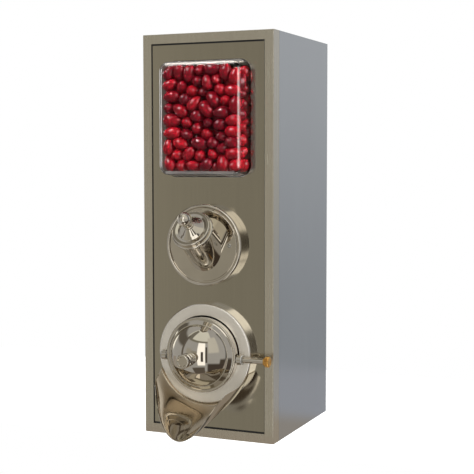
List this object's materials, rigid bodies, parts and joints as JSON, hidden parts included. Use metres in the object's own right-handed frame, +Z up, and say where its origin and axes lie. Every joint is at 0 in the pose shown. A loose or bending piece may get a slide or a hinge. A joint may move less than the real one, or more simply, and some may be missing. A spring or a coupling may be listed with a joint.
{
  "type": "coffee bean dispenser",
  "caption": "Tall steel cabinet dispenser with a clear bulged window, an inclined aroma tube under a knobbed cap, and a domed swinging gate over an open chute.",
  "frame": {"origin": "centre of the cabinet's base, on the surface that it stands on; the parts that stand proud of the front aren't counted in the centre", "axes": "+X to the right as seen from the front, +Y from the front to the back, +Z up"},
  "size_m": [0.2125, 0.3385, 0.6],
  "materials": {
    "frame_steel": "satin, folded sheet",
    "side_steel": "satin, fine vertical grain",
    "panel_steel": "smooth, warm grey",
    "inner_steel": "plain sheet",
    "polished_chrome": "mirror polished",
    "satin_chrome": "satin, turned face",
    "turned_brass": "turned, slightly worn",
    "clear_acrylic": "clear, glossy",
    "beans": "glossy red coating",
    "soft_seal": "matt black",
    "bush_plastic": "plain white",
    "rivet_aluminium": "plain",
    "fasteners": "bright zinc"
  },
  "bodies": {
    "cabinet": {"front_frame": "frame_steel", "cabinet_wrap": "side_steel", "base_plate": "side_steel", "front_panel": "panel_steel", "top_deck": "side_steel", "window_bubble": "clear_acrylic", "window_gasket": "soft_seal", "window_clamp": "inner_steel", "hopper_bin": "inner_steel", "hopper_funnel": "inner_steel", "funnel_cradles": "inner_steel", "bean_fill": "beans", "hinge_knuckles": "inner_steel", "lid_hinge_pin": "fasteners", "panel_seal": "soft_seal", "aroma_flange": "polished_chrome", "aroma_tube": "polished_chrome", "aroma_mesh": "inner_steel", "aroma_backing_ring": "inner_steel", "outlet_flange": "satin_chrome", "outlet_neck": "inner_steel", "left_lug": "polished_chrome", "right_lug": "polished_chrome", "shaft_bushes": "bush_plastic", "chute": "polished_chrome", "bin_rivets": "rivet_aluminium", "panel_nuts": "fasteners", "window_nuts": "fasteners", "cradle_nuts": "fasteners", "deck_screws": "fasteners", "deck_nuts": "fasteners", "hinge_screws": "fasteners", "aroma_screws": "fasteners", "aroma_nuts": "fasteners", "outlet_nuts": "fasteners", "lug_screws": "fasteners", "chute_screws": "fasteners"},
    "gate": {"gate_ring": "polished_chrome", "gate_dome": "polished_chrome", "gate_hubs": "inner_steel", "grub_screws": "fasteners", "left_pivot": "polished_chrome", "gate_shaft": "polished_chrome", "shaft_clips": "fasteners", "shaft_knob": "turned_brass", "gate_knob": "polished_chrome", "gate_knob_washer": "fasteners", "gate_knob_screw": "fasteners"},
    "aroma_cap": {"aroma_cap": "polished_chrome", "cap_seal": "soft_seal", "cap_knob": "polished_chrome", "cap_screw": "fasteners"},
    "top_lid": {"top_lid": "side_steel", "lid_gasket": "soft_seal"}
  },
  "joints": [
    {"name": "gate_swing", "type": "hinge", "parent": "cabinet", "child": "gate", "pos_m": [0, -0.14, 0.125], "axis": [-1, 0, 0], "range_deg": [0, 45]},
    {"name": "aroma_cap_lift", "type": "slide", "parent": "cabinet", "child": "aroma_cap", "axis": [0, -0.829, 0.5592], "range_m": [0, 0.06]},
    {"name": "top_lid_hinge", "type": "hinge", "parent": "cabinet", "child": "top_lid", "pos_m": [0, 0.092, 0.5956], "axis": [-1, 0, 0], "range_deg": [0, 95]}
  ]
}
